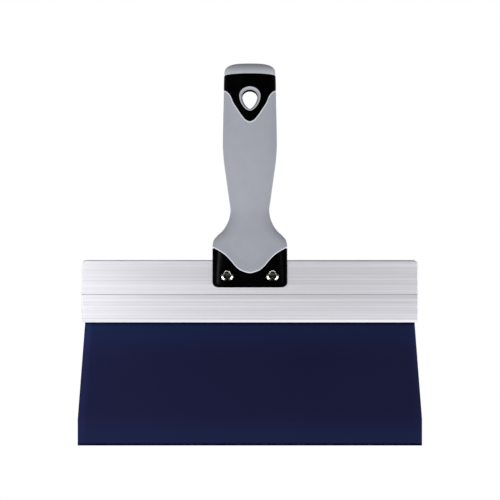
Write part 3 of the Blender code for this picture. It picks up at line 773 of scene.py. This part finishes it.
class Shading:
    """A material's node tree, with the few node kinds used here as methods."""

    def __init__(self, name, **settings):
        self.material = bpy.data.materials.new(name)
        self.material.use_nodes = True
        self.tree = self.material.node_tree
        self.shader = self.tree.nodes["Principled BSDF"]
        for socket, value in settings.items():
            self.shader.inputs[socket.replace("_", " ")].default_value = value
        self.position = self.tree.nodes.new("ShaderNodeTexCoord").outputs["Object"]

    def node(self, kind, **inputs):
        made = self.tree.nodes.new(kind)
        for socket, value in inputs.items():
            self.connect(value, made.inputs[socket])
        return made

    def connect(self, value, socket):
        if isinstance(value, bpy.types.NodeSocket):
            self.tree.links.new(value, socket)
        else:
            socket.default_value = value

    def stretched(self, x, y, z):
        """The position, scaled on each axis by about how many features it has per metre."""
        return self.node("ShaderNodeMapping", Vector=self.position, Scale=(x, y, z)).outputs["Vector"]

    def noise(self, vector, scale, detail=2.0, roughness=0.5):
        return self.node(
            "ShaderNodeTexNoise", Vector=vector, Scale=scale, Detail=detail, Roughness=roughness
        ).outputs["Fac"]

    def spread(self, value, low, high, from_low=0.3, from_high=0.7):
        """Maps a texture's middle range to low to high."""
        made = self.node("ShaderNodeMapRange", Value=value)
        made.inputs["From Min"].default_value = from_low
        made.inputs["From Max"].default_value = from_high
        made.inputs["To Min"].default_value = low
        made.inputs["To Max"].default_value = high
        return made.outputs["Result"]

    def mix(self, factor, first, second):
        made = self.tree.nodes.new("ShaderNodeMix")
        made.data_type = "RGBA"
        self.connect(factor, made.inputs[0])
        self.connect(first, made.inputs[6])
        self.connect(second, made.inputs[7])
        return made.outputs[2]

    def tone(self):
        made = self.tree.nodes.new("ShaderNodeAttribute")
        made.attribute_name = "tone"
        return made.outputs["Fac"]

    def height(self, low, high):
        """0 up to low and 1 from high on, in millimetres above the working edge, smoothly between."""
        split = self.node("ShaderNodeSeparateXYZ", Vector=self.position)
        made = self.node("ShaderNodeMapRange", Value=split.outputs["Z"])
        made.interpolation_type = "SMOOTHSTEP"
        made.inputs["From Min"].default_value = low * MM + EDGE_Z
        made.inputs["From Max"].default_value = high * MM + EDGE_Z
        return made.outputs["Result"]

    def math(self, operation, first, second=0.0):
        made = self.tree.nodes.new("ShaderNodeMath")
        made.operation = operation
        self.connect(first, made.inputs[0])
        self.connect(second, made.inputs[1])
        return made.outputs[0]

    def colour(self, value):
        self.connect(value, self.shader.inputs["Base Color"])

    def roughness(self, value):
        self.connect(value, self.shader.inputs["Roughness"])

    def bump(self, *heights):
        """Each height is (value, depth in millimetres between its 0 and its 1)."""
        normal = None
        for value, depth in heights:
            made = self.node("ShaderNodeBump", Height=value, Distance=depth * MM)
            if normal is not None:
                self.tree.links.new(normal, made.inputs["Normal"])
            normal = made.outputs["Normal"]
        self.tree.links.new(normal, self.shader.inputs["Normal"])


def rgb(red, green, blue):
    """A display colour, 0 to 255, as the linear colour that a shader takes."""
    def linear(value):
        value /= 255
        return value / 12.92 if value <= 0.04045 else ((value + 0.055) / 1.055) ** 2.4

    return (linear(red), linear(green), linear(blue), 1.0)


def soft_grey_material():
    paint = Shading("soft_grey_grip", Metallic=0.0, Specular_IOR_Level=0.3)
    cloudy = paint.noise(paint.position, 90.0, 4.0, 0.6)
    speckle = paint.noise(paint.position, 1500.0, 2.0)
    tone = paint.math("ADD", paint.math("MULTIPLY", cloudy, 0.6), paint.math("MULTIPLY", speckle, 0.4))
    rubber = paint.mix(paint.spread(tone, 0.0, 1.0), rgb(176, 179, 189), rgb(184, 187, 197))
    # Painted shade: the grip is a little darker towards its bottom, over the bell.
    shaded_low = paint.mix(paint.spread(tone, 0.0, 1.0), rgb(171, 174, 184), rgb(178, 181, 191))
    rubber = paint.mix(paint.height(126.0, 182.0), shaded_low, rubber)
    # The tone takes the colour towards pale: a painted highlight on the grip's lips, painted light on the
    # trim rings, and on the cap a paler colour with painted shade towards its top.
    paint.colour(paint.mix(paint.tone(), rubber, rgb(240, 243, 252)))
    paint.roughness(paint.spread(cloudy, 0.48, 0.6))
    paint.bump((paint.noise(paint.position, 2600.0, 3.0), 0.03), (paint.noise(paint.position, 140.0), 0.05))
    return paint.material


def hard_black_material(name, gloss, roughness):
    paint = Shading(name, Metallic=0.0, Specular_IOR_Level=gloss)
    cloudy = paint.noise(paint.position, 120.0, 3.0)
    black, faded = (0.0002, 0.0002, 0.0003, 1), (0.0005, 0.0005, 0.0007, 1)
    paint.colour(paint.mix(paint.spread(cloudy, 0.0, 1.0), black, faded))
    paint.roughness(paint.spread(cloudy, roughness, roughness + 0.07))
    paint.bump((paint.noise(paint.position, 1800.0, 2.0), 0.005), (paint.noise(paint.position, 160.0), 0.03))
    return paint.material


def aluminium_material():
    paint = Shading("mill_aluminium_bar", Metallic=1.0)
    die_lines = paint.noise(paint.stretched(1.5, 300.0, 900.0), 1.0, 6.0, 0.62)
    broad = paint.noise(paint.stretched(4.0, 60.0, 160.0), 1.0, 3.0)
    fine = paint.noise(paint.stretched(30.0, 900.0, 4200.0), 1.0, 4.0)
    tone = paint.math("ADD", paint.math("MULTIPLY", die_lines, 0.65), paint.math("MULTIPLY", broad, 0.35))
    paint.colour(paint.mix(paint.spread(tone, 0.0, 1.0), rgb(207, 206, 213), rgb(245, 245, 250)))
    paint.roughness(paint.spread(die_lines, 0.28, 0.4))
    paint.bump((die_lines, 0.012), (fine, 0.004))
    return paint.material


def blued_steel_material():
    """Blued steel with painted light and shade: lighter towards its edge and its bar than in the middle,
    dark at both.
    """
    paint = Shading("blued_steel_blade", Metallic=1.0)
    grind = paint.noise(paint.stretched(25.0, 600.0, 3200.0), 1.0, 4.0)
    clouds = paint.noise(paint.stretched(9.0, 9.0, 14.0), 1.0, 3.0)
    tone = paint.math("ADD", paint.math("MULTIPLY", grind, 0.4), paint.math("MULTIPLY", clouds, 0.6))
    body = paint.mix(paint.spread(tone, 0.0, 1.0), rgb(29, 30, 61), rgb(32, 34, 65))
    # Painted light: lighter and bluer towards the working edge.
    lit_near_edge = paint.mix(paint.spread(tone, 0.0, 1.0), rgb(30, 36, 69), rgb(33, 39, 73))
    low = paint.mix(paint.height(6.0, 26.0), lit_near_edge, body)
    # Painted light: a little lighter towards the bar.
    flat = paint.mix(paint.height(62.0, 92.0), low, rgb(29, 39, 74))
    # Painted shade: a dark line along the very edge.
    shaded_edge = paint.mix(paint.height(0.6, 2.6), rgb(9, 11, 38), flat)
    # Painted shadow under the bar's lip.
    paint.colour(paint.mix(paint.height(BAR_BOTTOM - 3.2, BAR_BOTTOM - 0.2), shaded_edge, rgb(13, 16, 46)))
    paint.roughness(paint.spread(grind, 0.32, 0.42))
    paint.bump((grind, 0.004))
    return paint.material


def nickel_material():
    paint = Shading("nickel_plate_rivets", Metallic=1.0)
    smears = paint.noise(paint.position, 700.0, 3.0)
    plate = paint.mix(paint.spread(smears, 0.0, 1.0), rgb(98, 96, 91), rgb(112, 110, 105))
    # The tone paints shade: the plate goes near black in the hollow and on parts of the roll and washer.
    paint.colour(paint.mix(paint.tone(), plate, rgb(9, 9, 8)))
    paint.roughness(paint.spread(smears, 0.12, 0.22))
    paint.bump((smears, 0.01))
    return paint.material


# ---------------------------------------------------------------- stage


FLOOR_HALF = 4.0  # metres
FLOOR_DROP = 0.0005  # of the floor under the working edge
FRONT_WAY = (0.12, -1.0, 0.25)  # where the world's light is dimmest
SIDE_LEVEL = 0.64
FRONT_LEVEL = 0.23
OVERHEAD_SHARE = 0.3  # of the light from the same side at the horizon
SENSOR_WIDTH = 36.0
LENS = 102.5
CAMERA_X = 0.0001
CAMERA_DISTANCE = 1.05
CAMERA_RISE = 0.1442


def over_edge(x, y, rise):
    """A place in metres, at a height above the working edge."""
    return (x, y, EDGE_Z + rise)


def add_floor():
    material = bpy.data.materials.new("floor_white")
    material.use_nodes = True
    tree = material.node_tree
    tree.nodes.clear()
    white = tree.nodes.new("ShaderNodeEmission")
    output = tree.nodes.new("ShaderNodeOutputMaterial")
    tree.links.new(white.outputs[0], output.inputs["Surface"])
    corners = [(-1, -1), (1, -1), (1, 1), (-1, 1)]
    points = [over_edge(x * FLOOR_HALF, y * FLOOR_HALF, -FLOOR_DROP) for x, y in corners]
    mesh = bpy.data.meshes.new("floor")
    mesh.from_pydata(points, [], [(0, 1, 2, 3)])
    mesh.materials.append(material)
    floor = add_object("floor", mesh)


def add_light(name, location, target, width, height, radiance, lit=None):
    """A soft panel that the camera doesn't see. Its radiance is in units of the white floor's.

    A panel given a list of lit pieces lights only those.
    """
    light = bpy.data.lights.new(name, "AREA")
    light.shape = "RECTANGLE"
    light.size, light.size_y = width, height
    light.energy = radiance * math.pi * width * height
    made = add_object(name, light)
    made.location = location
    made.rotation_euler = (Vector(target) - Vector(location)).to_track_quat("-Z", "Y").to_euler()
    made.visible_camera = False
    if lit:
        receivers = bpy.data.collections.new(f"{name}_receivers")
        for piece in lit:
            receivers.objects.link(piece)
        made.light_linking.receiver_collection = receivers


def add_world():
    """White to the camera. As light it is dim in front and overhead, and brighter round the sides."""
    world = bpy.data.worlds.new("studio")
    bpy.context.scene.world = world
    world.use_nodes = True
    tree = world.node_tree
    tree.nodes.clear()
    add, link = tree.nodes.new, tree.links.new
    direction = add("ShaderNodeTexCoord").outputs["Generated"]
    toward_front = add("ShaderNodeVectorMath")
    toward_front.operation = "DOT_PRODUCT"
    toward_front.inputs[1].default_value = Vector(FRONT_WAY).normalized()
    link(direction, toward_front.inputs[0])
    ramp = add("ShaderNodeValToRGB")
    ramp.color_ramp.interpolation = "EASE"
    for element, position, level in zip(ramp.color_ramp.elements, (0.25, 1.0), (SIDE_LEVEL, FRONT_LEVEL)):
        element.position = position
        element.color = (level, level, level * 1.03, 1)
    link(toward_front.outputs["Value"], ramp.inputs["Fac"])
    upward = add("ShaderNodeSeparateXYZ")
    link(direction, upward.inputs[0])
    fall = add("ShaderNodeMapRange")
    fall.interpolation_type = "SMOOTHSTEP"
    link(upward.outputs["Z"], fall.inputs["Value"])
    for socket, value in (("From Min", 0.0), ("From Max", 0.8), ("To Min", 1.0), ("To Max", OVERHEAD_SHARE)):
        fall.inputs[socket].default_value = value
    light = add("ShaderNodeBackground")
    link(ramp.outputs["Color"], light.inputs["Color"])
    link(fall.outputs["Result"], light.inputs["Strength"])
    white = add("ShaderNodeBackground")
    white.inputs["Color"].default_value = (1, 1, 1, 1)
    path = add("ShaderNodeLightPath")
    mix = add("ShaderNodeMixShader")
    link(path.outputs["Is Camera Ray"], mix.inputs[0])
    link(light.outputs[0], mix.inputs[1])
    link(white.outputs[0], mix.inputs[2])
    output = add("ShaderNodeOutputWorld")
    link(mix.outputs[0], output.inputs["Surface"])


def add_camera():
    camera = bpy.data.cameras.new("camera")
    camera.sensor_width = SENSOR_WIDTH
    camera.lens = LENS
    made = add_object("camera", camera)
    made.location = over_edge(CAMERA_X, -CAMERA_DISTANCE, CAMERA_RISE)
    made.rotation_euler = (math.pi / 2, 0.0, 0.0)
    bpy.context.scene.camera = made


# ---------------------------------------------------------------- everything

soft_grey = soft_grey_material()
hard_black = hard_black_material("hard_black_core", 0.01, 0.2)
unpolished_black = hard_black_material("hard_black_recess", 0.0, 0.7)
aluminium = aluminium_material()
blued_steel = blued_steel_material()
nickel = nickel_material()

add_blade(blued_steel)
bar = add_back_bar(aluminium)
core = add_core(hard_black, unpolished_black)
grip = add_grip(soft_grey)
cap = add_end_cap(soft_grey)
hang_rings = [
    add_hang_ring(f"hang_ring_{place_name}_trim", side, f"hang_ring_{place_name}", soft_grey)
    for place_name, side in (("front", -1), ("rear", 1))
]
rivets = []
for side_name, x, first_petal in zip(("left", "right"), rivet_places(), (0.2, 0.7)):
    rivets += add_rivet(side_name, x, first_petal, nickel)

bpy.context.scene.view_settings.view_transform = "Standard"
add_floor()
add_world()
middle = over_edge(0, 0, 0.12)
add_light("softbox_left", over_edge(-0.5, -1.05, 0.06), middle, 0.38, 0.38, 3.4)
add_light("softbox_right", over_edge(0.7, -0.95, 0.06), middle, 0.38, 0.38, 2.0)
add_light("bar_left_panel", over_edge(-0.15, -1.1, 0.06), middle, 0.25, 0.38, 0.3, [bar])
add_light("bar_right_panel", over_edge(0.62, -1.0, 0.06), middle, 0.3, 0.38, 2.0, [bar])
add_light("bar_low_strip", over_edge(0, -0.12, 0.001), over_edge(0, -0.12, 1), 1.0, 0.16, 0.3, [bar])
for side, rivet_level, core_level in ((-1, 24.0, 140.0), (1, 21.0, 22.0)):
    strip, above_strip = (over_edge(side * 0.32, -0.24, rise) for rise in (0.002, 1))
    add_light(f"rivet_strip_{side}", strip, above_strip, 0.44, 0.4, rivet_level, rivets)
    low = over_edge(side * 0.62, -1.18, 0.1)
    add_light(f"core_strip_{side}", low, over_edge(0, 0, 0.13), 0.1, 0.2, core_level, [core])
add_light("rivet_top_strip", over_edge(0, -0.5, 0.6), middle, 0.8, 0.14, 30.0, rivets)
add_light("ring_strip", over_edge(-0.03, -0.13, 0.04), over_edge(0, 0, 0.26), 0.3, 0.1, 2.5, hang_rings)
add_light("grip_key", over_edge(-0.3, -1.1, 0.25), over_edge(0, 0, 0.2), 0.5, 0.5, 0.35, [grip, cap])
add_light("grip_top_panel", over_edge(-0.1, -0.4, 0.7), over_edge(0, 0, 0.25), 0.3, 0.15, 3.2, [grip])
add_camera()
